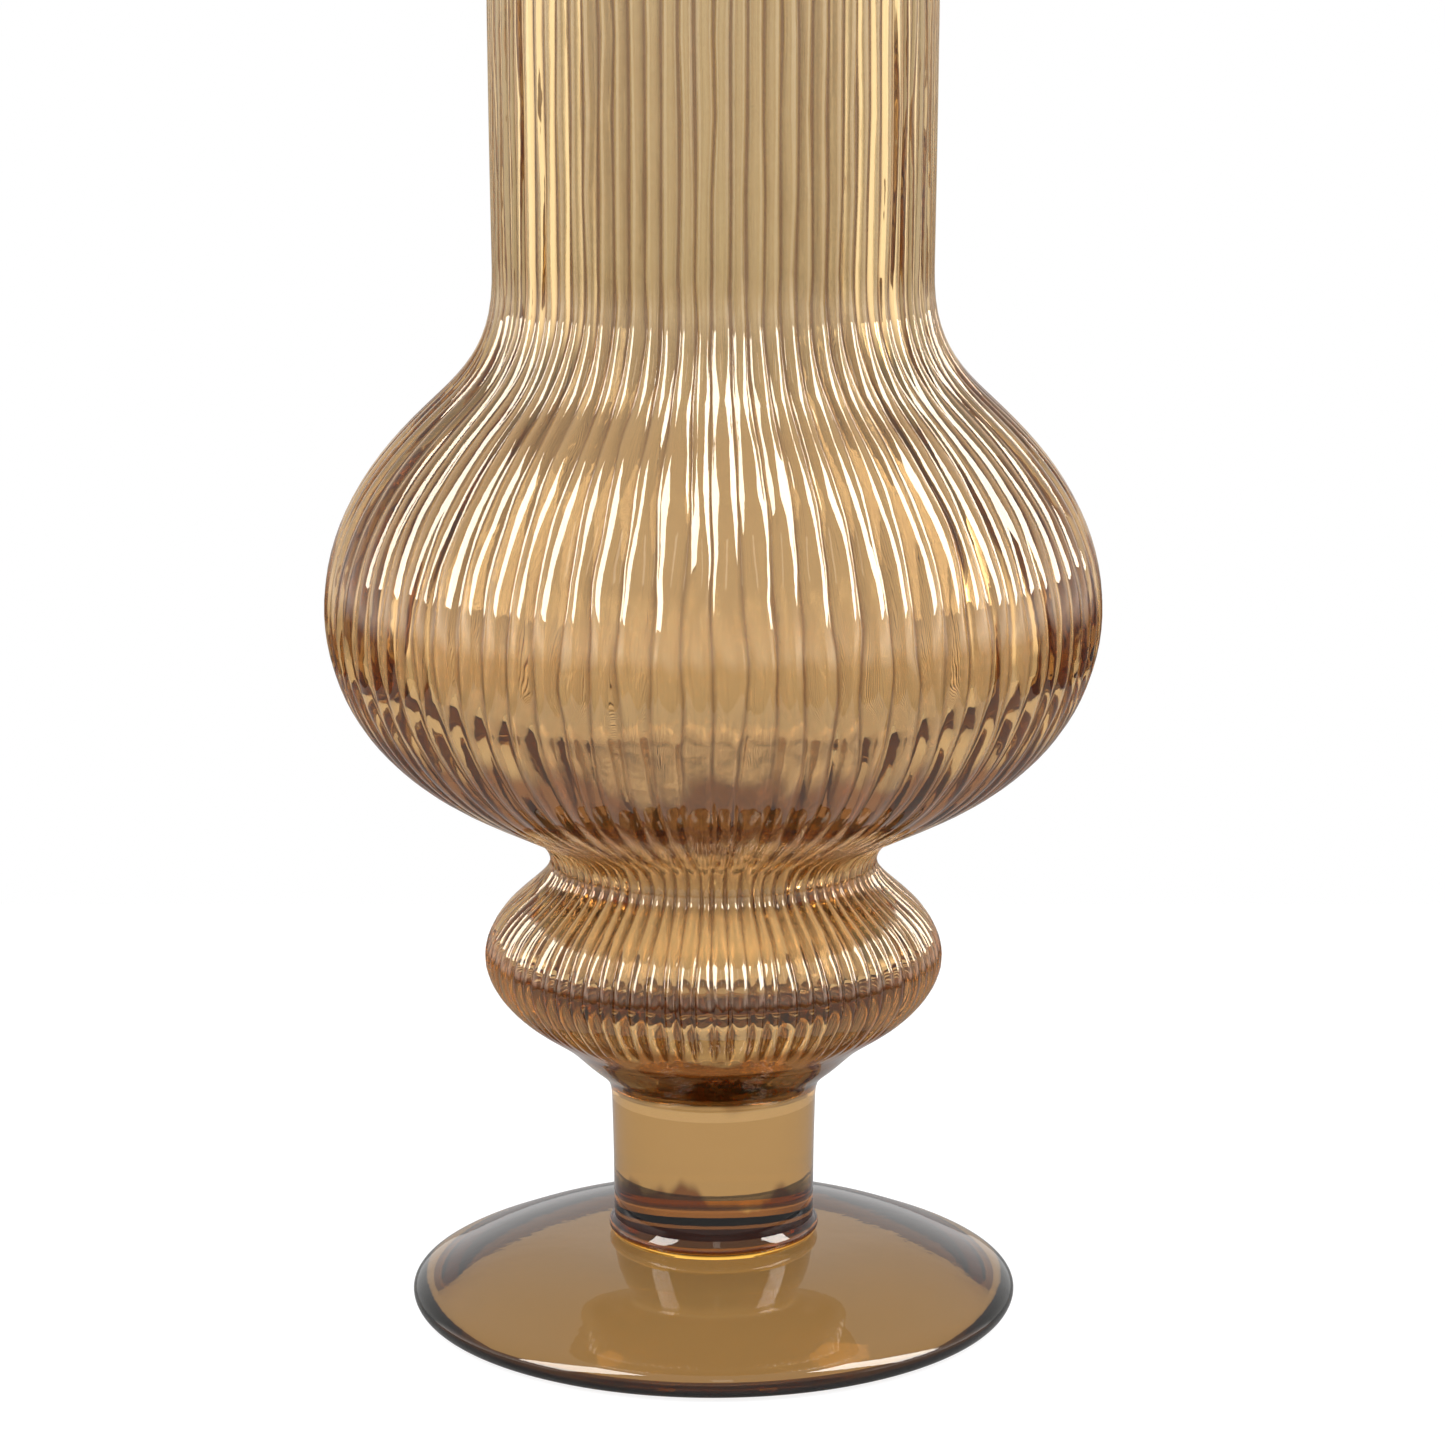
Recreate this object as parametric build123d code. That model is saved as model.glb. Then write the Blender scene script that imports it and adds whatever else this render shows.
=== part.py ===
"""Footed vase in blown glass: thin-walled body, solid stem, joining ring and domed foot.

Millimetres, +Z up.  The origin is the centre of the circle that the foot rests on.
Every piece is turned about Z, and each rests face to face on the piece below it.
The body's outside runs along the crests of its fine upright ribs, a little over 1 mm
deep, and these are not cut here.
"""
import os

from build123d import *

# ---- driving dimensions ------------------------------------------------------
HEIGHT = 460.0              # floor to lip

FOOT_RADIUS = 84.7          # widest point of the rounded rim
FOOT_RIM_Z = 5.0            # height of that widest point
FOOT_TOP_Z = 20.4           # flat seat in the middle, under the ring
FOOT_GROUND_OUTER = 81.0    # the foot touches the table between these two radii
FOOT_GROUND_INNER = 77.0
HOLLOW_TOP_Z = 14.0         # crown of the hollow under the foot

RING_RADIUS = 29.5          # bulge of the joining ring
RING_TOP_Z = 25.6

STEM_RADIUS = 28.2
STEM_TOP_Z = 60.0           # where the body is joined on
STEM_TAPER = 0.5            # narrower by this just above the ring
STEM_FLARE = 0.4            # and wider by this at the body

KNOP_RADIUS = 63.8          # small lower bulb
KNOP_Z = 101.0
WAIST_RADIUS = 45.4         # crease between the two bulbs
WAIST_Z = 127.8
BULB_RADIUS = 106.6         # large upper bulb
BULB_Z = 199.0
NECK_RADIUS = 59.9          # where the straight neck begins
NECK_Z = 296.0
LIP_RADIUS = 60.6

WALL = 4.0                  # rib crest to inner face
WAIST_WALL = 7.4            # the same at the waist, where the glass is gathered
BASE_Z = 91.0               # lowest point of the hollow, above a thick solid base
BASE_RISE = 3.0             # the floor of the hollow curves up to the wall by this much


def turned(*edges):
    """Solid of revolution about Z from edges drawn as radius and height."""
    return revolve(make_face(Plane.XZ * Curve(list(edges))), Axis.Z)


# ---- body --------------------------------------------------------------------
def arcs(*points):
    """Chain of arcs, each through three of the points and ending where the next begins."""
    return [ThreePointArc(*points[i : i + 3]) for i in range(0, len(points) - 2, 2)]


def outer_profile():
    """Line along the rib crests, from the stem to the start of the straight neck."""
    return arcs(
        (STEM_RADIUS + STEM_FLARE, STEM_TOP_Z),
        (29.4, 64.5),
        (34.4, 69.5),
        (41.6, 76.0),
        (53.2, 84.0),
        (KNOP_RADIUS, KNOP_Z),
        (58.4, 113.5),
        (48.7, 122.5),
        (WAIST_RADIUS, WAIST_Z),
        (46.9, 132.5),
        (54.4, 138.0),
        (77.5, 150.0),
        (98.0, 170.0),
        (BULB_RADIUS, BULB_Z),
        (98.5, 230.0),
        (79.2, 254.0),
        (66.0, 268.0),
        (60.9, 280.0),
        (NECK_RADIUS, NECK_Z),
    )


def inner_profile():
    """Line of the hollow, from its floor to the neck; the glass is thick at the waist."""
    return arcs(
        (0.0, BASE_Z),
        (38.0, BASE_Z + BASE_RISE),
        (KNOP_RADIUS - WALL - 1.2, KNOP_Z + WALL),
        (53.5, 113.5),
        (45.0, 120.5),
        (WAIST_RADIUS - WAIST_WALL, WAIST_Z + 0.7),
        (41.5, 137.0),
        (54.0, 145.0),
        (70.0, 154.0),
        (85.0, 166.0),
        (96.5, 181.0),
        (BULB_RADIUS - WALL, BULB_Z),
        (94.7, 228.5),
        (76.2, 251.3),
        (62.6, 266.0),
        (NECK_RADIUS - WALL + 1.0, 280.0),
        (NECK_RADIUS - WALL, NECK_Z),
    )


def make_body():
    """Blown bowl, waist, bulb and neck in one shell, over a thick solid base."""
    lip = WALL / 2
    neck = Line((NECK_RADIUS, NECK_Z), (LIP_RADIUS, HEIGHT - lip))
    rim_ends = (LIP_RADIUS, HEIGHT - lip), (LIP_RADIUS - WALL, HEIGHT - lip)
    rim = ThreePointArc(rim_ends[0], (LIP_RADIUS - lip, HEIGHT), rim_ends[1])
    neck_inside = Line(rim_ends[1], (NECK_RADIUS - WALL, NECK_Z))
    joint_edge = (STEM_RADIUS + STEM_FLARE, STEM_TOP_Z)
    back = Polyline((0.0, BASE_Z), (0.0, STEM_TOP_Z), joint_edge)
    return turned(*outer_profile(), neck, rim, neck_inside, *inner_profile(), back)


# ---- stem, ring and foot -----------------------------------------------------
def make_stem():
    """Solid drawn stem, a little narrower just above the ring."""
    side = Spline(
        (STEM_RADIUS - STEM_TAPER, RING_TOP_Z),
        (STEM_RADIUS, 40.0),
        (STEM_RADIUS + STEM_FLARE, STEM_TOP_Z),
        tangents=[(0.0, 1.0), (0.05, 1.0)],
    )
    back = Polyline(side @ 1, (0.0, STEM_TOP_Z), (0.0, RING_TOP_Z), side @ 0)
    return turned(side, back)


def make_ring():
    """Rounded bead of glass that joins the stem to the foot."""
    top = (STEM_RADIUS - STEM_TAPER, RING_TOP_Z)
    bottom = (RING_RADIUS - 1.2, FOOT_TOP_Z)
    bulge = ThreePointArc(bottom, (RING_RADIUS, (FOOT_TOP_Z + RING_TOP_Z) / 2), top)
    back = Polyline(top, (0.0, RING_TOP_Z), (0.0, FOOT_TOP_Z), bottom)
    return turned(bulge, back)


def make_foot():
    """Domed round foot of even thickness, hollow beneath, with a rounded rim."""
    seat = (RING_RADIUS + 2.0, FOOT_TOP_Z)
    shoulder = (82.0, FOOT_RIM_Z + 3.0)
    ground_outer = (FOOT_GROUND_OUTER, 0.0)
    ground_inner = (FOOT_GROUND_INNER, 0.0)
    crown = (RING_RADIUS, HOLLOW_TOP_Z)
    dome = Spline(
        seat,
        (45.0, 19.5),
        (66.5, 14.7),
        (77.8, 10.0),
        shoulder,
        tangents=[(1.0, 0.0), (0.9, -0.45)],
    )
    rim = Spline(
        shoulder,
        (FOOT_RADIUS, FOOT_RIM_Z),
        ground_outer,
        tangents=[(0.9, -0.45), (-1.0, -0.1)],
    )
    underside = Spline(
        ground_inner,
        (66.5, 6.6),
        (48.0, 12.6),
        crown,
        tangents=[(-0.6, 0.6), (-1.0, 0.0)],
    )
    ground = Line(ground_outer, ground_inner)
    back = Polyline(crown, (0.0, HOLLOW_TOP_Z), (0.0, FOOT_TOP_Z), seat)
    return turned(dome, rim, ground, underside, back)


# ---- parts -------------------------------------------------------------------
if __name__ == "__main__":
    os.makedirs("parts", exist_ok=True)
    export_step(make_body(), "parts/body.step")
    export_step(make_stem(), "parts/stem.step")
    export_step(make_ring(), "parts/joining_ring.step")
    export_step(make_foot(), "parts/foot.step")
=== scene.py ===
"""Ribbed, footed vase in amber glass: the pieces, their finishes, the light and the camera."""
from math import cos, pi, radians, sin

import bmesh
import bpy
from bpy.props import FloatProperty, FloatVectorProperty, IntProperty, PointerProperty
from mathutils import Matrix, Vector


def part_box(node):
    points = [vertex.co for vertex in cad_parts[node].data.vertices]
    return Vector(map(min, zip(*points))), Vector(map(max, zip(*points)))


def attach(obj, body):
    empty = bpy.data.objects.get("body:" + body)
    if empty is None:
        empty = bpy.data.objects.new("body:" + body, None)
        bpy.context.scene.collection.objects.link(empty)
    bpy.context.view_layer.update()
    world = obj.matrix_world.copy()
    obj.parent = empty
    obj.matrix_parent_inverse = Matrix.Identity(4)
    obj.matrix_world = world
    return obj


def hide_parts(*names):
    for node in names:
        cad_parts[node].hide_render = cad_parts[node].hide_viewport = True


bl_info = {
    "name": "Ribbed Footed Vase",
    "version": (1, 0, 0),
    "blender": (4, 5, 0),
    "location": "3D View > Sidebar > Vase",
    "description": "Builds a ribbed glass vase on a stem and foot, with its stage",
    "category": "Add Mesh",
}

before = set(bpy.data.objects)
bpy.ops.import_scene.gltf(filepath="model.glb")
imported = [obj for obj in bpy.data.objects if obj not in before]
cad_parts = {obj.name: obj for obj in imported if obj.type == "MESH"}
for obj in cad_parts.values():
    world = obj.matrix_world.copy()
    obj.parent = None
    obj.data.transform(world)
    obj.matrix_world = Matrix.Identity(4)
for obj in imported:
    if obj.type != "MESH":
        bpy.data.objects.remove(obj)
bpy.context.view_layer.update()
ROOT = "root"
MM = 0.001

# brightness of the surround, as shares of the white panels in front and behind
SIDE_LEVEL = 1.3            # to the left and right
GAP_LEVEL = 0.7             # between the sides and the panels
ROOM_LEVEL = 0.3            # overhead

# the mesh
ROUND_STEPS = 336           # points round the smooth pieces
WELD = 0.001 * MM           # points closer than this are the same
LINING_STEPS_PER_RIB = 2    # the smooth inner face needs fewer than the ribbed one

# heights on the body
HOLLOW_FLOOR = 91.0 * MM
GATHERED_TOP = 185.0 * MM   # the wall has an even thickness above this
NECK_FROM = 255.0 * MM      # painted light on the neck fades in from here
NECK_TO = 300.0 * MM        # to here

# how far the joints sit inside the widest point
STEM_TAPER = 0.5 * MM
RING_TUCK = 1.2 * MM

# bands of painted shade: lowest height, highest height and soft edge
BODY_SHADE_BANDS = ((146.0 * MM, 172.0 * MM, 6.0 * MM), (68.0 * MM, 88.0 * MM, 4.0 * MM))
STEM_SHADE_BANDS = ((20.0 * MM, 38.0 * MM, 2.0 * MM),)
BAND_WAVE = 24.0 * MM       # how far the edges of the bands run up and down

# sockets of the Mix node when it mixes colours
MIX_SHARE, MIX_FIRST, MIX_SECOND, MIX_RESULT = 0, 6, 7, 2


def node_top(node):
    """Height of a node's highest point."""
    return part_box(node)[1][2]


def node_bottom(node):
    """Height of a node's lowest point."""
    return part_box(node)[0][2]


def node_radius(node):
    """Largest radius of a round node."""
    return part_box(node)[1][0]


# ---- sizes and colours -------------------------------------------------------
class VaseSizes(bpy.types.PropertyGroup):
    """Sizes of the glass."""

    ribs: IntProperty(name="Ribs", description="Ribs round the body", default=84, min=12)
    steps_per_rib: IntProperty(
        name="Steps per rib", description="Mesh points across one rib", default=8, min=4
    )
    rib_depth: FloatProperty(
        name="Rib depth", description="Crest to groove", default=1.4 * MM, unit="LENGTH"
    )
    wall: FloatProperty(
        name="Wall", description="Rib crest to inner face", default=4.0 * MM, unit="LENGTH"
    )
    fade_from: FloatProperty(
        name="Ribs start", description="Height where the ribs rise from the base",
        default=80.0 * MM, unit="LENGTH",
    )
    fade_to: FloatProperty(
        name="Ribs full", description="Height where the ribs reach full depth",
        default=92.0 * MM, unit="LENGTH",
    )
    lip_smooth: FloatProperty(
        name="Smooth lip", description="Height over which the ribs melt into the lip",
        default=6.0 * MM, unit="LENGTH",
    )
    unevenness: FloatProperty(
        name="Unevenness", description="Hand-made variation of each rib, as a share of its depth",
        default=0.5, min=0.0, max=1.0,
    )
    wander: FloatProperty(
        name="Wander", description="How far a rib strays sideways, as a share of the rib pitch",
        default=0.45, min=0.0, max=1.0,
    )
    seed: IntProperty(name="Seed", description="Seed of the hand-made variation", default=7)


class VaseFinish(bpy.types.PropertyGroup):
    """Colours and surface of the glass."""

    tint: FloatVectorProperty(
        name="Amber skin", description="Share of light that one pass through the skin lets on",
        default=(0.61, 0.46, 0.265), subtype="COLOR", size=3,
    )
    blown_tint: FloatVectorProperty(
        name="Blown skin", description="The same where blowing the bulbs has stretched the skin thin",
        default=(0.735, 0.575, 0.365), subtype="COLOR", size=3,
    )
    # painted shade: a darker tint for the grooves and the dark bands
    shade_darkening: FloatVectorProperty(
        name="Painted shade", description="Painted shade: what more is taken away in the grooves and the dark bands",
        default=(0.42, 0.27, 0.21), subtype="COLOR", size=3,
    )
    # painted light: a paler tint on the neck stands in for the white light its ribs reflect
    neck_light_tint: FloatVectorProperty(
        name="Neck painted light", description="Paler tint on the neck, painted light for the white that its ribs reflect",
        default=(0.82, 0.76, 0.58), subtype="COLOR", size=3,
    )
    # painted glow: a light orange tint that makes the joining ring look lit from within
    ring_glow_tint: FloatVectorProperty(
        name="Ring painted glow", description="Lighter orange tint of the joining ring, a painted glow",
        default=(1.0, 0.74, 0.32), subtype="COLOR", size=3,
    )
    lustre: FloatVectorProperty(
        name="Lustre", description="Colour of the skin's own reflection",
        default=(1.0, 0.78, 0.5), subtype="COLOR", size=3,
    )
    lustre_share: FloatProperty(
        name="Lustre share", description="Share of light that the skin reflects",
        default=0.06, min=0.0, max=1.0,
    )
    ior: FloatProperty(name="IOR", description="How much the glass bends light", default=1.5)
    ripple: FloatProperty(
        name="Ripple", description="Depth of the fine ripples", default=0.05 * MM, unit="LENGTH"
    )


# ---- shader helpers ----------------------------------------------------------
class Value:
    """A shader socket that Python arithmetic works on, by adding Math nodes."""

    def __init__(self, nodes, socket):
        self.nodes = nodes
        self.socket = socket

    def _math(self, operation, first, second):
        return self.nodes.add("ShaderNodeMath", {"operation": operation}, {0: first, 1: second})

    def __add__(self, other):
        return self._math("ADD", self, other)

    def __radd__(self, other):
        return self._math("ADD", other, self)

    def __sub__(self, other):
        return self._math("SUBTRACT", self, other)

    def __rsub__(self, other):
        return self._math("SUBTRACT", other, self)

    def __mul__(self, other):
        return self._math("MULTIPLY", self, other)

    def __rmul__(self, other):
        return self._math("MULTIPLY", other, self)

    def power(self, exponent):
        """This value raised to a power."""
        return self._math("POWER", self, exponent)


class Nodes:
    """The node tree of a material or a world, with a single method that adds any node."""

    def __init__(self, owner):
        owner.use_nodes = True
        self.tree = owner.node_tree
        self.tree.nodes.clear()

    def add(self, kind, settings=None, inputs=None, output=0):
        """Adds a node, sets it up, fills or links its sockets and returns one output."""
        node = self.tree.nodes.new(kind)
        for name, value in (settings or {}).items():
            setattr(node, name, value)
        for key, value in (inputs or {}).items():
            if isinstance(value, Value):
                self.tree.links.new(value.socket, node.inputs[key])
            else:
                node.inputs[key].default_value = value
        return Value(self, node.outputs[output])

    def finish(self, shader, output="ShaderNodeOutputMaterial"):
        """Links a shader to the output."""
        out = self.tree.nodes.new(output)
        self.tree.links.new(shader.socket, out.inputs["Surface"])


# ---- finishes ----------------------------------------------------------------
def opaque(colour):
    """A colour with full alpha, as colour sockets take it."""
    return tuple(colour) + (1.0,)


def through(*tints):
    """What is left of white light after it has passed through one tint after another."""
    left = (1.0, 1.0, 1.0)
    for tint in tints:
        left = tuple(a * b for a, b in zip(left, tint))
    return left


def ramp(nodes, value, low, high, first=0.0, last=1.0, kind="LINEAR"):
    """Value that goes from first to last while another goes from low to high."""
    return nodes.add(
        "ShaderNodeMapRange", {"interpolation_type": kind},
        {"Value": value, "From Min": low, "From Max": high, "To Min": first, "To Max": last},
    )


def blend(nodes, share, first, second):
    """Colour part of the way from the first to the second."""
    return nodes.add(
        "ShaderNodeMix", {"data_type": "RGBA"},
        {MIX_SHARE: share, MIX_FIRST: first, MIX_SECOND: second}, MIX_RESULT,
    )


def object_place(nodes):
    """Place of the shaded point on its piece, from the centre of the foot."""
    return nodes.add("ShaderNodeTexCoord", output="Object")


def object_height(nodes):
    """Height of the shaded point above the table."""
    return nodes.add("ShaderNodeSeparateXYZ", {}, {0: object_place(nodes)}, "Z")


def ripple_normal(nodes, depth):
    """Normal of blown glass: slow swells and finer ripples drawn out along the height."""
    slow = nodes.add(
        "ShaderNodeMapping", {}, {"Vector": object_place(nodes), "Scale": (1.0, 1.0, 0.45)}
    )
    swell = nodes.add("ShaderNodeTexNoise", {}, {"Vector": slow, "Scale": 60.0, "Detail": 1.0})
    ripple = nodes.add("ShaderNodeTexNoise", {}, {"Vector": slow, "Scale": 320.0, "Detail": 1.5})
    return nodes.add(
        "ShaderNodeBump", {}, {"Height": swell * 4.0 + ripple, "Strength": 1.0, "Distance": depth}
    )


def painted_shade_share(nodes, bands):
    """One inside the bands of painted shade and zero outside, with edges that run up and down."""
    streaks = nodes.add(
        "ShaderNodeMapping", {}, {"Vector": object_place(nodes), "Scale": (1.0, 1.0, 0.1)}
    )
    wave = nodes.add("ShaderNodeTexNoise", {}, {"Vector": streaks, "Scale": 90.0, "Detail": 2.0})
    height = object_height(nodes) + (wave - 0.5) * BAND_WAVE
    share = 0.0
    for low, high, soft in bands:
        above_low = ramp(nodes, height, low - soft, low + soft, kind="SMOOTHSTEP")
        below_high = ramp(nodes, height, high + soft, high - soft, kind="SMOOTHSTEP")
        share = share + above_low * below_high
    return share


def painted_shade_tint(look, tint):
    """Base colour of the painted shade."""
    return opaque(through(tint, tint, look.shade_darkening, look.shade_darkening))


def stem_colour(nodes, look, tint):
    """Skin of the stem, with a band of painted shade above the joining ring."""
    even = opaque(through(tint, tint))
    # painted shade: a dark band on the stem just above the joining ring
    return blend(nodes, painted_shade_share(nodes, STEM_SHADE_BANDS), even, painted_shade_tint(look, tint))


def body_colour(nodes, look, tint):
    """Skin of the body: painted light that makes the neck paler, and painted shade in the grooves and
    the two bands.
    """
    # painted light: the neck is made paler
    neck_light = opaque(through(look.neck_light_tint, look.neck_light_tint))
    painted_shade = painted_shade_tint(look, tint)
    hollowness = nodes.add("ShaderNodeNewGeometry", output="Pointiness")
    neck = ramp(nodes, object_height(nodes), NECK_FROM, NECK_TO)
    # painted shade: the hollow grooves between the ribs are darkened
    grooves = ramp(nodes, hollowness, 0.5, 0.46, 0.0, 0.9)
    skin = blend(nodes, neck, opaque(through(tint, tint)), neck_light)
    skin = blend(nodes, grooves, skin, painted_shade)
    # painted shade: two dark bands on the body, low on the big bulb and low on the small one
    return blend(nodes, painted_shade_share(nodes, BODY_SHADE_BANDS), skin, painted_shade)


def amber_glass(name, look, tint, ripple_share, lustre_share, colour=None):
    """Clear glass under a thin amber skin, which tints the light at each pass.

    Light that enters takes the root of the base colour, so that holds the tint twice.
    """
    material = bpy.data.materials.new(name)
    nodes = Nodes(material)
    normal = ripple_normal(nodes, look.ripple * ripple_share)
    tint_twice = opaque(through(tint, tint))
    outside = nodes.add(
        "ShaderNodeBsdfPrincipled", {},
        {
            "Base Color": colour(nodes, look, tint) if colour else tint_twice,
            "Roughness": 0.0,
            "IOR": look.ior,
            "Transmission Weight": 1.0,
            "Normal": normal,
        },
    )
    leaving = nodes.add(
        "ShaderNodeBsdfRefraction", {},
        {"Color": opaque(tint), "Roughness": 0.0, "IOR": look.ior, "Normal": normal},
    )
    kept = nodes.add(
        "ShaderNodeBsdfAnisotropic", {}, {"Color": tint_twice, "Roughness": 0.0, "Normal": normal}
    )
    share = nodes.add("ShaderNodeFresnel", {}, {"IOR": look.ior, "Normal": normal})
    inside = nodes.add("ShaderNodeMixShader", {}, {0: share, 1: leaving, 2: kept})
    from_inside = nodes.add("ShaderNodeNewGeometry", output="Backfacing")
    glass = nodes.add("ShaderNodeMixShader", {}, {0: from_inside, 1: outside, 2: inside})
    sheen = nodes.add(
        "ShaderNodeBsdfAnisotropic", {},
        {"Color": opaque(look.lustre), "Roughness": 0.0, "Normal": normal},
    )
    share = look.lustre_share * lustre_share
    nodes.finish(nodes.add("ShaderNodeMixShader", {}, {0: share, 1: glass, 2: sheen}))
    return material


def clear_glass(name, look):
    """Bare glass of the inner faces, which the amber skin doesn't cover."""
    material = bpy.data.materials.new(name)
    nodes = Nodes(material)
    normal = ripple_normal(nodes, look.ripple)
    nodes.finish(
        nodes.add(
            "ShaderNodeBsdfPrincipled", {},
            {
                "Base Color": (1.0, 1.0, 1.0, 1.0),
                "Roughness": 0.0,
                "IOR": look.ior,
                "Transmission Weight": 1.0,
                "Normal": normal,
            },
        )
    )
    return material


def fused_joint(name):
    """The face where two pieces were fused hot: glass runs on through it, so it can't be seen."""
    material = bpy.data.materials.new(name)
    nodes = Nodes(material)
    nodes.finish(nodes.add("ShaderNodeBsdfTransparent"))
    return material


def white_paper(name):
    """Plain white table, lit from beneath as well, that the glass mirrors only faintly."""
    material = bpy.data.materials.new(name)
    nodes = Nodes(material)
    mirrored = nodes.add("ShaderNodeLightPath", output="Is Reflection Ray")
    nodes.finish(
        nodes.add(
            "ShaderNodeBsdfPrincipled", {},
            {
                "Base Color": (0.2, 0.2, 0.2, 1.0),
                "Roughness": 0.9,
                "Specular IOR Level": 0.0,
                "Emission Color": blend(nodes, mirrored, opaque([0.85] * 3), opaque([0.13] * 3)),
                "Emission Strength": 1.0,
            },
        )
    )
    return material


def finish_named(name, maker, *values):
    """The material of that name, made the first time it is asked for."""
    return bpy.data.materials.get(name) or maker(name, *values)


# ---- the lines that the glass is turned from ---------------------------------
def outer_line(scene):
    """Rib crest line from the stem to the lip, as radius and height in metres."""
    lip = node_top("body") - scene.vase_sizes.wall / 2
    millimetres = [
        (29.4, 64.5),
        (34.4, 69.5),
        (41.6, 76.0),
        (53.2, 84.0),
        (63.8, 101.0),
        (58.4, 113.5),
        (48.7, 122.5),
        (45.4, 127.8),
        (46.9, 132.5),
        (54.4, 138.0),
        (77.5, 150.0),
        (98.0, 170.0),
        (106.6, 199.0),
        (98.5, 230.0),
        (79.2, 254.0),
        (66.0, 268.0),
        (60.9, 280.0),
        (59.9, 296.0),
    ]
    start = [(node_radius("stem"), node_bottom("body"))]
    neck = [(60.6 * MM, lip)]
    return start + [(r * MM, z * MM) for r, z in millimetres] + neck


class Spline2D:
    """Smooth curve through points, twice continuous, run along by the length of its chords."""

    def __init__(self, points):
        self.points = [Vector(p) for p in points]
        self.at = [0.0]
        for a, b in zip(self.points, self.points[1:]):
            self.at.append(self.at[-1] + (b - a).length)
        self.bends = self._bends()

    def _bends(self):
        """Second derivatives at the points, zero at both ends, by sweeping the equations."""
        count = len(self.points)
        gap = [self.at[i + 1] - self.at[i] for i in range(count - 1)]
        share = [0.0] * count
        load = [Vector((0.0, 0.0))] * count
        for i in range(1, count - 1):
            turn = (self.points[i + 1] - self.points[i]) / gap[i]
            turn = turn - (self.points[i] - self.points[i - 1]) / gap[i - 1]
            pivot = 2 * (gap[i - 1] + gap[i]) - gap[i - 1] * share[i - 1]
            share[i] = gap[i] / pivot
            load[i] = (6 * turn - gap[i - 1] * load[i - 1]) / pivot
        bends = [Vector((0.0, 0.0))] * count
        for i in range(count - 2, 0, -1):
            bends[i] = load[i] - share[i] * bends[i + 1]
        return bends

    def place(self, span, part):
        """Point on one span between two points, part of the way along it."""
        width = self.at[span + 1] - self.at[span]
        a, b = 1 - part, part
        straight = self.points[span] * a + self.points[span + 1] * b
        ease = self.bends[span] * (a ** 3 - a) + self.bends[span + 1] * (b ** 3 - b)
        return straight + ease * width * width / 6

    def run(self, steps):
        """Points along every span, steps of them to a span."""
        spans = range(len(self.points) - 1)
        return [self.place(s, i / n) for s, n in zip(spans, steps) for i in range(n)] + [
            self.points[-1].copy()
        ]


def moved_in(points, distance):
    """The line moved to its left, the inside of the vase, by a distance."""
    moved = []
    for i, point in enumerate(points):
        along = points[min(i + 1, len(points) - 1)] - points[max(i - 1, 0)]
        along.normalize()
        moved.append(Vector((point.x - along.y * distance, point.y + along.x * distance)))
    return moved


def quarter_round(centre, radius, start, stop, steps):
    """Points on an arc, its ends included, with angles in degrees."""
    angles = [radians(start + (stop - start) * i / steps) for i in range(steps + 1)]
    return [Vector((centre[0] + radius * cos(a), centre[1] + radius * sin(a))) for a in angles]


# ---- meshes ------------------------------------------------------------------
def line_object(name, points):
    """A line in the XZ plane, as a mesh of points and edges, for a tree to turn."""
    mesh = bpy.data.meshes.new(name)
    mesh.from_pydata(
        [(p.x, 0.0, p.y) for p in points], [(i, i + 1) for i in range(len(points) - 1)], []
    )
    piece = bpy.data.objects.new(name, mesh)
    bpy.context.collection.objects.link(piece)
    return piece


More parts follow.
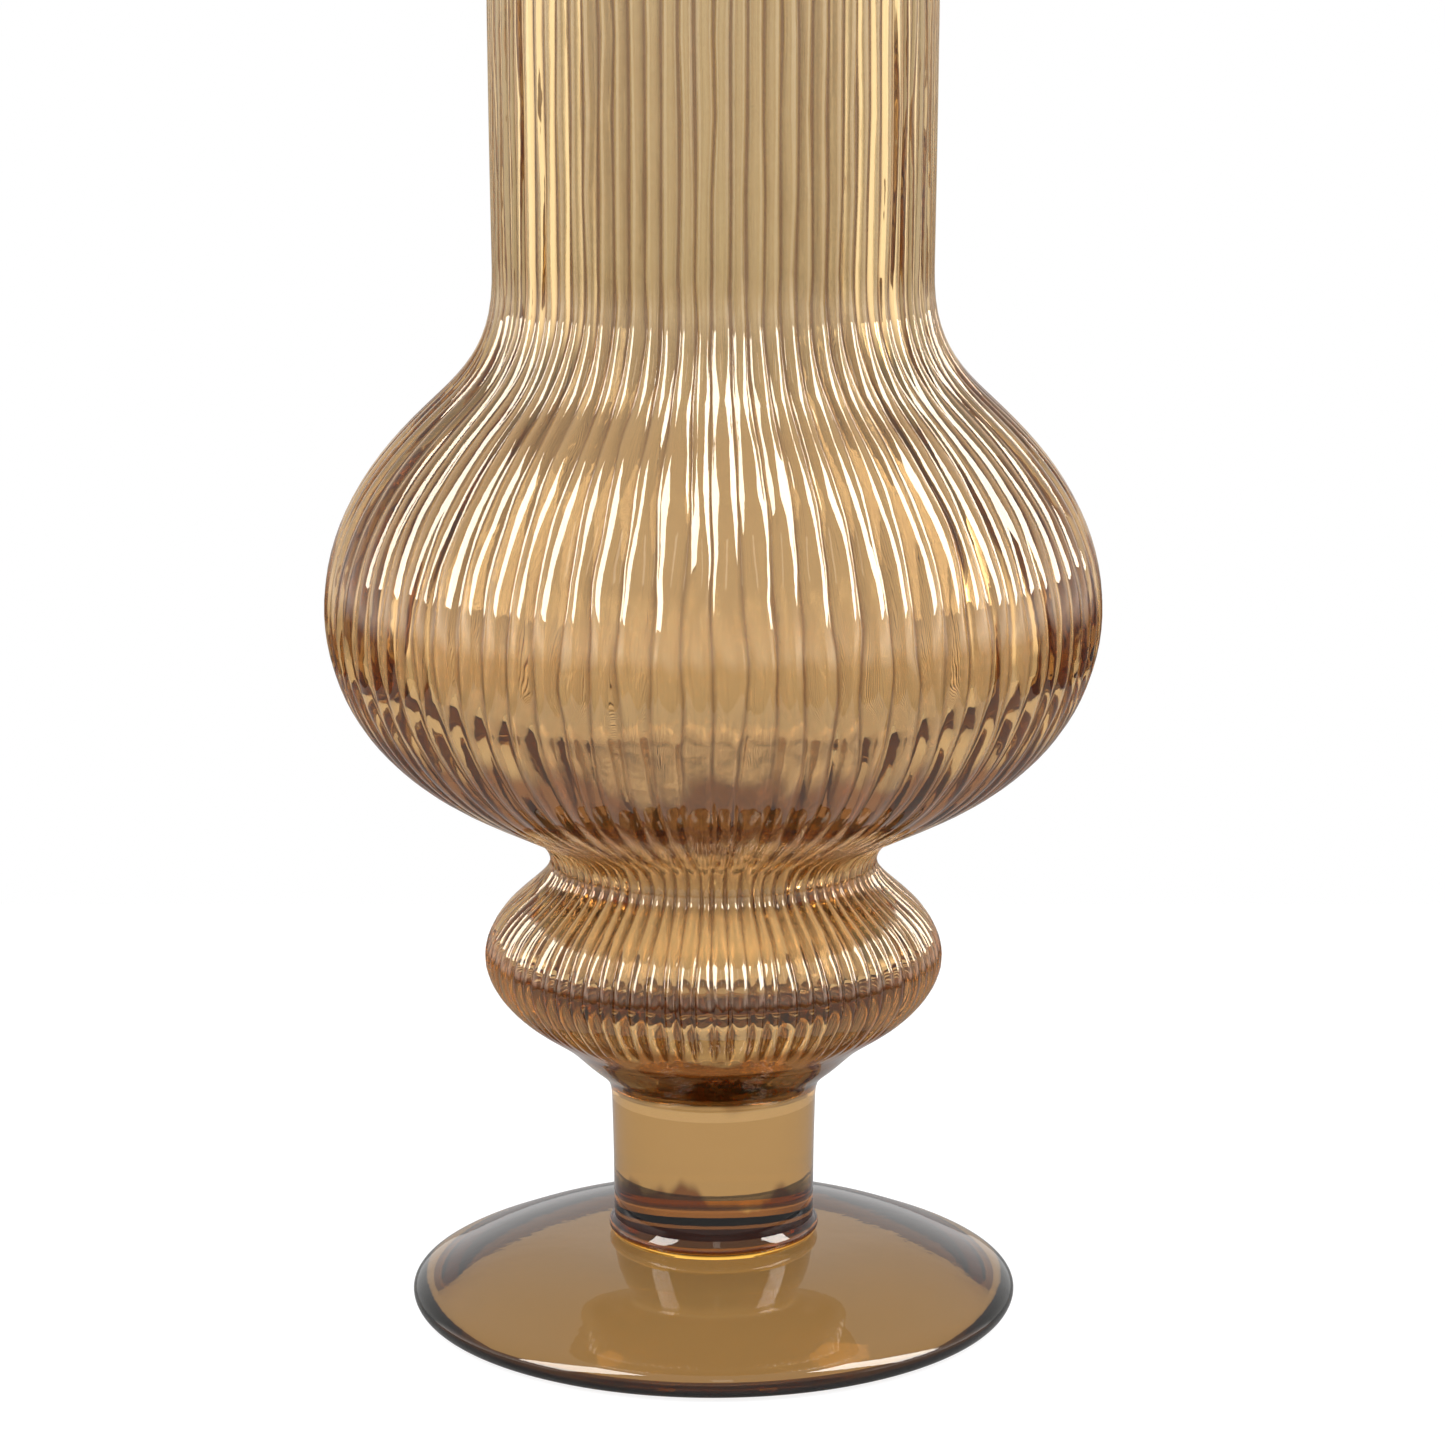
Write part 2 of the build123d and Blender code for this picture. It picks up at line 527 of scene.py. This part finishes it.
def turning_tree():
    """Geometry Nodes: turns a line about Z into a wall with scalloped ribs round it."""
    tree = bpy.data.node_groups.new("Turned ribbed wall", "GeometryNodeTree")
    face = tree.interface
    face.new_socket("Line", in_out="INPUT", socket_type="NodeSocketGeometry")
    for name, kind in (
        ("Ribs", "NodeSocketInt"),
        ("Steps per rib", "NodeSocketInt"),
        ("Rib depth", "NodeSocketFloat"),
        ("Ribs start", "NodeSocketFloat"),
        ("Ribs full", "NodeSocketFloat"),
        ("Ribs end", "NodeSocketFloat"),
        ("Smooth lip", "NodeSocketFloat"),
        ("Unevenness", "NodeSocketFloat"),
        ("Wander", "NodeSocketFloat"),
        ("Seed", "NodeSocketInt"),
        ("Finish", "NodeSocketMaterial"),
    ):
        face.new_socket(name, in_out="INPUT", socket_type=kind)
    face.new_socket("Wall", in_out="OUTPUT", socket_type="NodeSocketGeometry")

    def node(kind, **settings):
        made = tree.nodes.new(kind)
        for key, value in settings.items():
            setattr(made, key, value)
        return made

    def link(source, target):
        if isinstance(source, (int, float)):
            target.default_value = source
        else:
            tree.links.new(source, target)

    def math(operation, first, second=0.0, third=0.0):
        made = node("ShaderNodeMath", operation=operation)
        for value, socket in zip((first, second, third), made.inputs):
            link(value, socket)
        return made.outputs[0]

    given = node("NodeGroupInput").outputs
    size = node("GeometryNodeAttributeDomainSize", component="MESH")
    link(given["Line"], size.inputs["Geometry"])
    rows = size.outputs["Point Count"]
    columns = math("MULTIPLY", given["Ribs"], given["Steps per rib"])

    grid = node("GeometryNodeMeshGrid")
    link(math("ADD", columns, 1), grid.inputs["Vertices X"])
    link(rows, grid.inputs["Vertices Y"])

    index = node("GeometryNodeInputIndex").outputs[0]
    column = math("FLOOR", math("DIVIDE", index, rows))
    row = math("SUBTRACT", index, math("MULTIPLY", column, rows))
    sample = node("GeometryNodeSampleIndex", data_type="FLOAT_VECTOR", domain="POINT")
    link(given["Line"], sample.inputs["Geometry"])
    link(node("GeometryNodeInputPosition").outputs[0], sample.inputs["Value"])
    link(row, sample.inputs["Index"])
    split = node("ShaderNodeSeparateXYZ")
    link(sample.outputs[0], split.inputs[0])
    radius, height = split.outputs[0], split.outputs[2]

    rib_share = math("DIVIDE", column, given["Steps per rib"])
    across = math("SUBTRACT", math("MULTIPLY", math("FRACT", rib_share), 2.0), 1.0)
    groove = math("MULTIPLY", across, across)
    whole_turn = math("DIVIDE", column, columns)
    angle = math("MULTIPLY", whole_turn, 2 * pi)

    around = node("ShaderNodeCombineXYZ")
    link(math("MULTIPLY", math("COSINE", angle), 3.0), around.inputs[0])
    link(math("MULTIPLY", math("SINE", angle), 3.0), around.inputs[1])
    link(math("MULTIPLY", height, 8.0), around.inputs[2])
    noise = node("ShaderNodeTexNoise", noise_dimensions="4D")
    link(around.outputs[0], noise.inputs["Vector"])
    link(given["Seed"], noise.inputs["W"])
    noise.inputs["Scale"].default_value = 4.0
    noise.inputs["Detail"].default_value = 2.0
    swing = math("MULTIPLY", math("SUBTRACT", noise.outputs[0], 0.5), 2.0)
    uneven = math("ADD", 1.0, math("MULTIPLY", swing, given["Unevenness"]))

    def ramp(value, low, high):
        made = node("ShaderNodeMapRange", interpolation_type="SMOOTHSTEP")
        link(value, made.inputs["Value"])
        link(low, made.inputs["From Min"])
        link(high, made.inputs["From Max"])
        return made.outputs[0]

    rise = ramp(height, given["Ribs start"], given["Ribs full"])
    fall = ramp(height, given["Ribs end"], math("SUBTRACT", given["Ribs end"], given["Smooth lip"]))
    depth = math("MULTIPLY", math("MULTIPLY", given["Rib depth"], uneven), math("MULTIPLY", rise, fall))
    turned = math("SUBTRACT", radius, math("MULTIPLY", depth, groove))

    channels = node("ShaderNodeSeparateXYZ")
    link(noise.outputs[1], channels.inputs[0])
    stray = math("MULTIPLY", math("SUBTRACT", channels.outputs[1], 0.5), given["Wander"])
    stray = math("MULTIPLY", math("DIVIDE", stray, given["Ribs"]), math("MULTIPLY", rise, 4 * pi))
    angle = math("ADD", angle, stray)

    place = node("ShaderNodeCombineXYZ")
    link(math("MULTIPLY", turned, math("COSINE", angle)), place.inputs[0])
    link(math("MULTIPLY", turned, math("SINE", angle)), place.inputs[1])
    link(height, place.inputs[2])
    put = node("GeometryNodeSetPosition")
    link(grid.outputs["Mesh"], put.inputs["Geometry"])
    link(place.outputs[0], put.inputs["Position"])
    merge = node("GeometryNodeMergeByDistance")
    link(put.outputs[0], merge.inputs["Geometry"])
    merge.inputs["Distance"].default_value = WELD
    realize = node("GeometryNodeRealizeInstances")
    link(merge.outputs[0], realize.inputs[0])
    paint = node("GeometryNodeSetMaterial")
    link(realize.outputs[0], paint.inputs["Geometry"])
    link(given["Finish"], paint.inputs["Material"])
    out = node("NodeGroupOutput")
    link(paint.outputs[0], out.inputs["Wall"])
    return tree


def turn_line(name, points, values):
    """Turns a line with the tree above and returns the plain mesh."""
    tree = bpy.data.node_groups.get("Turned ribbed wall") or turning_tree()
    piece = line_object(name, points)
    modifier = piece.modifiers.new("Turn", "NODES")
    modifier.node_group = tree
    for item in tree.interface.items_tree:
        if item.in_out == "INPUT" and item.name in values:
            modifier[item.identifier] = values[item.name]
    evaluated = piece.evaluated_get(bpy.context.evaluated_depsgraph_get())
    mesh = bpy.data.meshes.new_from_object(evaluated)
    bpy.data.objects.remove(piece)
    return mesh


def lathe(name, line, steps, finishes):
    """Closed solid of revolution.  line holds (radius, height, finish number of the next band)."""
    mesh = bpy.data.meshes.new(name)
    form = bmesh.new()
    rings = []
    for radius, height, _ in line:
        if radius < WELD:
            rings.append([form.verts.new((0.0, 0.0, height))])
        else:
            angles = [2 * pi * i / steps for i in range(steps)]
            rings.append([form.verts.new((radius * cos(a), radius * sin(a), height)) for a in angles])
    for lower, upper, (_, _, finish) in zip(rings, rings[1:], line):
        for i in range(steps):
            j = (i + 1) % steps
            corners = [lower[i % len(lower)], lower[j % len(lower)]]
            corners += [upper[j % len(upper)], upper[i % len(upper)]]
            band = form.faces.new(list(dict.fromkeys(corners)))
            band.material_index = finish
            band.smooth = True
    form.to_mesh(mesh)
    form.free()
    for finish in finishes:
        mesh.materials.append(finish)
    return mesh


def placed(name, mesh, node):
    """Links a finished mesh into the scene under the root and hides the CAD node that it stands for."""
    piece = bpy.data.objects.new(name, mesh)
    bpy.context.collection.objects.link(piece)
    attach(piece, ROOT)
    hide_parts(node)
    return piece


def cap_sharp(mesh, finish_number):
    """Keeps the rim of a flat joint face crisp, so that its shading doesn't bleed."""
    edges = {}
    for polygon in mesh.polygons:
        for key in polygon.edge_keys:
            edges.setdefault(key, set()).add(polygon.material_index == finish_number)
    for edge in mesh.edges:
        edge.use_edge_sharp = len(edges.get(tuple(sorted(edge.vertices)), ())) > 1


# ---- body --------------------------------------------------------------------
class VASE_OT_body(bpy.types.Operator):
    """Ribbed shell: small bulb, waist, large bulb and neck, with its thick base"""

    bl_idname = "vase.body"
    bl_label = "Body"

    def execute(self, context):
        sizes = context.scene.vase_sizes
        look = context.scene.vase_finish
        amber = finish_named(
            "Amber skin glass", amber_glass, look, look.blown_tint, 1.0, 1.0, body_colour
        )
        clear = finish_named("Bare glass", clear_glass, look)
        joint = finish_named("Fused joint", fused_joint)
        lip = node_top("body")
        wall = sizes.wall
        crest = Spline2D(outer_line(context.scene))
        detail = [2, 3, 4, 6, 8, 6, 5, 3, 3, 4, 6, 8, 8, 8, 7, 6, 4, 4, 8]
        outside = crest.run(detail)
        lip_centre = (outside[-1].x - wall / 2, lip - wall / 2)
        outside += quarter_round(lip_centre, wall / 2, 0, 90, 4)[1:]
        inside = self.inner_line(crest, wall, lip_centre)
        shared = {
            "Ribs": sizes.ribs,
            "Steps per rib": sizes.steps_per_rib,
            "Rib depth": sizes.rib_depth,
            "Ribs start": sizes.fade_from,
            "Ribs full": sizes.fade_to,
            "Ribs end": lip - wall / 2,
            "Smooth lip": sizes.lip_smooth,
            "Unevenness": sizes.unevenness,
            "Wander": sizes.wander,
            "Seed": sizes.seed,
            "Finish": amber,
        }
        shell = turn_line("outside", outside, shared)
        lining = turn_line(
            "inside", inside,
            {
                **shared,
                "Steps per rib": LINING_STEPS_PER_RIB,
                "Rib depth": 0.0,
                "Finish": clear,
            },
        )
        mesh = self.joined(shell, lining, (amber, clear, joint))
        placed("body_glass", mesh, "body")
        return {"FINISHED"}

    def inner_line(self, crest, wall, lip_centre):
        """The wall's inner face from the lip down to the rounded floor."""
        even = moved_in(crest.run([5] * (len(crest.points) - 1)), wall)
        gathered = Spline2D([
            (58.4 * MM, 107.0 * MM),
            (53.5 * MM, 113.5 * MM),
            (45.0 * MM, 120.5 * MM),
            (38.0 * MM, 128.5 * MM),
            (41.5 * MM, 137.0 * MM),
            (54.0 * MM, 145.0 * MM),
            (70.0 * MM, 154.0 * MM),
            (85.0 * MM, 166.0 * MM),
            (96.5 * MM, 181.0 * MM),
        ]).run([4, 5, 6, 6, 6, 6, 5, 5])
        even = [p for p in even if GATHERED_TOP < p.y < lip_centre[1] - wall]
        bottom = Spline2D([
            (2.0 * MM, HOLLOW_FLOOR),
            (38.0 * MM, HOLLOW_FLOOR + 3.0 * MM),
            (56.5 * MM, 101.5 * MM),
            (58.6 * MM, 105.0 * MM),
        ]).run([6, 8, 2])
        lip = quarter_round(lip_centre, wall / 2, 180, 112.5, 3)
        return (bottom + gathered + even + lip)[::-1]

    def joined(self, shell, lining, finishes):
        """Outside, inside, lip and floor as one closed mesh."""
        amber, clear, joint = range(3)
        form = bmesh.new()
        form.from_mesh(shell)
        for part in form.faces:
            part.material_index = amber
        before = set(form.verts)
        form.from_mesh(lining)
        for part in form.faces:
            if any(v not in before for v in part.verts):
                part.material_index = clear
        bmesh.ops.remove_doubles(form, verts=form.verts, dist=WELD)
        rims = [e for e in form.edges if e.is_boundary]
        top = max(max(v.co.z for v in e.verts) for e in rims)
        upper = [e for e in rims if min(v.co.z for v in e.verts) > top - 5 * MM]
        made = bmesh.ops.bridge_loops(form, edges=upper)
        for part in made["faces"]:
            part.material_index = amber
        for loop_height, finish in ((HOLLOW_FLOOR, clear), (node_bottom("body"), joint)):
            ring = [
                e for e in form.edges
                if e.is_boundary and abs(e.verts[0].co.z - loop_height) < 2 * MM
            ]
            for part in bmesh.ops.edgeloop_fill(form, edges=ring)["faces"]:
                part.material_index = finish
        bmesh.ops.recalc_face_normals(form, faces=form.faces)
        for part in form.faces:
            part.smooth = True
        mesh = bpy.data.meshes.new("body_glass")
        form.to_mesh(mesh)
        form.free()
        for finish in finishes:
            mesh.materials.append(finish)
        cap_sharp(mesh, joint)
        return mesh


# ---- stem, ring and foot -----------------------------------------------------
SKIN, JOINT = range(2)      # places of the finishes on the stem, the ring and the foot


def solid_line(side, top, bottom):
    """A lathe line up the side of a solid, closed by a joint face below and one above."""
    skin = [(point.x, point.y, SKIN) for point in side[:-1]]
    return [(0.0, bottom, JOINT), *skin, (side[-1].x, side[-1].y, JOINT), (0.0, top, JOINT)]


class VASE_OT_stem(bpy.types.Operator):
    """Solid stem between the joining ring and the body"""

    bl_idname = "vase.stem"
    bl_label = "Stem"

    def execute(self, context):
        look = context.scene.vase_finish
        finishes = (
            finish_named("Stem skin glass", amber_glass, look, look.tint, 0.3, 0.2, stem_colour),
            finish_named("Fused joint", fused_joint),
        )
        bottom, top = node_bottom("stem"), node_top("stem")
        radius = node_radius("stem")
        side = Spline2D([
            (radius - STEM_TAPER, bottom),
            (radius - 0.4 * MM, (bottom + top) / 2),
            (radius, top),
        ]).run([8, 8])
        line = solid_line(side, top, bottom)
        mesh = lathe("stem_glass", line, ROUND_STEPS, finishes)
        cap_sharp(mesh, JOINT)
        placed("stem_glass", mesh, "stem")
        return {"FINISHED"}


class VASE_OT_ring(bpy.types.Operator):
    """Rounded bead of glass that joins the stem to the foot"""

    bl_idname = "vase.ring"
    bl_label = "Joining ring"

    def execute(self, context):
        look = context.scene.vase_finish
        finishes = (
            # painted glow: the ring's light orange tint
            finish_named("Orange ring glass", amber_glass, look, look.ring_glow_tint, 0.3, 0.2),
            finish_named("Fused joint", fused_joint),
        )
        bottom, top = node_bottom("joining_ring"), node_top("joining_ring")
        radius = node_radius("joining_ring")
        side = Spline2D([
            (radius - RING_TUCK, bottom),
            (radius, bottom + 0.45 * (top - bottom)),
            (node_radius("stem") - STEM_TAPER, top),
        ]).run([10, 10])
        mesh = lathe("joining_ring_glass", solid_line(side, top, bottom), ROUND_STEPS, finishes)
        cap_sharp(mesh, JOINT)
        placed("joining_ring_glass", mesh, "joining_ring")
        return {"FINISHED"}


class VASE_OT_foot(bpy.types.Operator):
    """Domed round foot, hollow beneath"""

    bl_idname = "vase.foot"
    bl_label = "Foot"

    def execute(self, context):
        look = context.scene.vase_finish
        finishes = (
            finish_named("Smooth amber skin glass", amber_glass, look, look.tint, 0.3, 0.2),
            finish_named("Fused joint", fused_joint),
        )
        top = node_top("foot")
        seat = node_radius("joining_ring") - RING_TUCK
        radius = node_radius("foot")
        dome = Spline2D([
            (seat, top),
            (45.0 * MM, 19.5 * MM),
            (66.5 * MM, 14.7 * MM),
            (77.8 * MM, 10.0 * MM),
            (82.0 * MM, 8.0 * MM),
            (radius, 5.0 * MM),
            (83.7 * MM, 1.6 * MM),
            (81.0 * MM, 0.0),
        ]).run([10, 10, 8, 6, 8, 8, 6])
        beneath = Spline2D([
            (77.0 * MM, 0.0),
            (66.5 * MM, 6.6 * MM),
            (48.0 * MM, 12.6 * MM),
            (29.5 * MM, 14.0 * MM),
            (0.0, 14.0 * MM),
        ]).run([10, 10, 8, 6])
        line = [(max(p.x, 0.0), p.y, SKIN) for p in reversed(dome + beneath)]
        line[-1] = (*line[-1][:2], JOINT)
        line.append((0.0, top, JOINT))
        mesh = lathe("foot_glass", line, ROUND_STEPS, finishes)
        cap_sharp(mesh, JOINT)
        placed("foot_glass", mesh, "foot")
        return {"FINISHED"}


# ---- stage -------------------------------------------------------------------
def soft_light(name, azimuth, elevation, distance, size, power, aim=(0.0, 0.0, 0.2)):
    """A softbox round the vase.  Azimuth 0 is in front, positive to the right, in degrees."""
    lamp = bpy.data.lights.new(name, "AREA")
    lamp.shape = "RECTANGLE"
    lamp.size, lamp.size_y = size
    lamp.energy = power
    piece = bpy.data.objects.new(name, lamp)
    a, e = radians(azimuth), radians(elevation)
    aim = Vector(aim)
    way = Vector((sin(a) * cos(e), -cos(a) * cos(e), sin(e)))
    piece.location = aim + way * distance
    piece.rotation_euler = way.to_track_quat("Z", "Y").to_euler()
    piece.visible_camera = False
    bpy.context.collection.objects.link(piece)
    return piece


def white_surround():
    """Walls of light round the vase: white in front and behind, with dimmer gaps between.

    The camera sees plain white.  Mirrored light finds less below the table's level and
    more above it than light that passes through the glass does.
    """
    world = bpy.data.worlds.new("White surround")
    nodes = Nodes(world)
    way = nodes.add("ShaderNodeTexCoord", output="Generated")
    across, along, height = (
        nodes.add("ShaderNodeSeparateXYZ", {}, {0: way}, axis) for axis in "XYZ"
    )
    seen = nodes.add("ShaderNodeLightPath", output="Is Camera Ray")
    mirrored = nodes.add("ShaderNodeLightPath", output="Is Reflection Ray")

    level_reach = (across * across + along * along).power(0.5)
    facing = nodes.add("ShaderNodeMath", {"operation": "ABSOLUTE"}, {0: along})
    share = nodes.add("ShaderNodeMath", {"operation": "DIVIDE"}, {0: facing, 1: level_reach})
    panels = ramp(nodes, share, 0.85, 0.94, GAP_LEVEL, 1.0)
    walls = panels + ramp(nodes, share, 0.5, 0.6, SIDE_LEVEL, 0.0)

    table = ramp(nodes, height, -0.26, -0.2, 1.0, 0.0)
    below = walls + table * (1.0 - walls)
    room = below + ramp(nodes, height, 0.05, 0.4) * (ROOM_LEVEL - below)
    room = room * (1.0 - mirrored * ramp(nodes, height, -0.15, 0.0, 0.85, 0.0))
    room = room + mirrored * ramp(nodes, height, 0.0, 0.15, 0.0, 0.4) * (1.0 - room)
    level = room + seen * (1.0 - room)
    surround = nodes.add(
        "ShaderNodeBackground", {}, {"Color": opaque([1.0] * 3), "Strength": level}
    )
    nodes.finish(surround, "ShaderNodeOutputWorld")
    return world


def table_top():
    """The flat white floor under the vase."""
    reach = 0.45
    drop = -0.2 * MM
    corners = [(-reach, -reach), (reach, -reach), (reach, reach), (-reach, reach)]
    mesh = bpy.data.meshes.new("floor")
    mesh.from_pydata([(x, y, drop) for x, y in corners], [], [(0, 1, 2, 3)])
    mesh.materials.append(finish_named("White paper", white_paper))
    floor = bpy.data.objects.new("floor", mesh)
    bpy.context.collection.objects.link(floor)
    return floor


def studio_camera():
    """The camera, a little above the vase and looking slightly down."""
    lens = bpy.data.cameras.new("camera")
    lens.sensor_width = 36.0
    lens.lens = 107.3
    camera = bpy.data.objects.new("camera", lens)
    camera.location = (0.0025, -1.165, 0.4113)
    camera.rotation_euler = (radians(90 - 11.864), 0.0, 0.0)
    bpy.context.collection.objects.link(camera)
    return camera


class VASE_OT_stage(bpy.types.Operator):
    """Pale floor, white surround, softboxes and camera"""

    bl_idname = "vase.stage"
    bl_label = "Stage"

    def execute(self, context):
        scene = context.scene
        table_top()
        scene.world = white_surround()
        soft_light("front_softbox", 4, 42, 1.3, (0.16, 0.5), 0.3)
        soft_light("left_softbox", -66, 38, 1.2, (0.5, 1.2), 20)
        soft_light("right_softbox", 82, 36, 1.2, (0.5, 1.2), 22)
        scene.camera = studio_camera()
        scene.view_settings.view_transform = "Standard"
        scene.cycles.max_bounces = 32
        scene.cycles.transmission_bounces = 32
        scene.cycles.glossy_bounces = 16
        scene.cycles.transparent_max_bounces = 32
        return {"FINISHED"}


# ---- panel and registration --------------------------------------------------
STEPS = (VASE_OT_stage, VASE_OT_body, VASE_OT_stem, VASE_OT_ring, VASE_OT_foot)


class VASE_PT_panel(bpy.types.Panel):
    """Lists the pieces, the stage and the values that they use"""

    bl_idname = "VASE_PT_panel"
    bl_label = "Vase"
    bl_space_type = "VIEW_3D"
    bl_region_type = "UI"
    bl_category = "Vase"

    def draw(self, context):
        for step in STEPS:
            self.layout.operator(step.bl_idname)
        for group in (context.scene.vase_sizes, context.scene.vase_finish):
            for name in group.bl_rna.properties.keys():
                if name not in ("rna_type", "name"):
                    self.layout.prop(group, name)


CLASSES = (VaseSizes, VaseFinish, *STEPS, VASE_PT_panel)


def register():
    """Adds the classes and hangs the two groups of values on the scene."""
    for item in CLASSES:
        bpy.utils.register_class(item)
    bpy.types.Scene.vase_sizes = PointerProperty(type=VaseSizes)
    bpy.types.Scene.vase_finish = PointerProperty(type=VaseFinish)


def unregister():
    """Takes away what register added."""
    del bpy.types.Scene.vase_finish
    del bpy.types.Scene.vase_sizes
    for item in reversed(CLASSES):
        bpy.utils.unregister_class(item)


def main():
    """Builds the whole scene."""
    register()
    for step in STEPS:
        group, name = step.bl_idname.split(".")
        getattr(getattr(bpy.ops, group), name)()


if __name__ == "__main__":
    main()
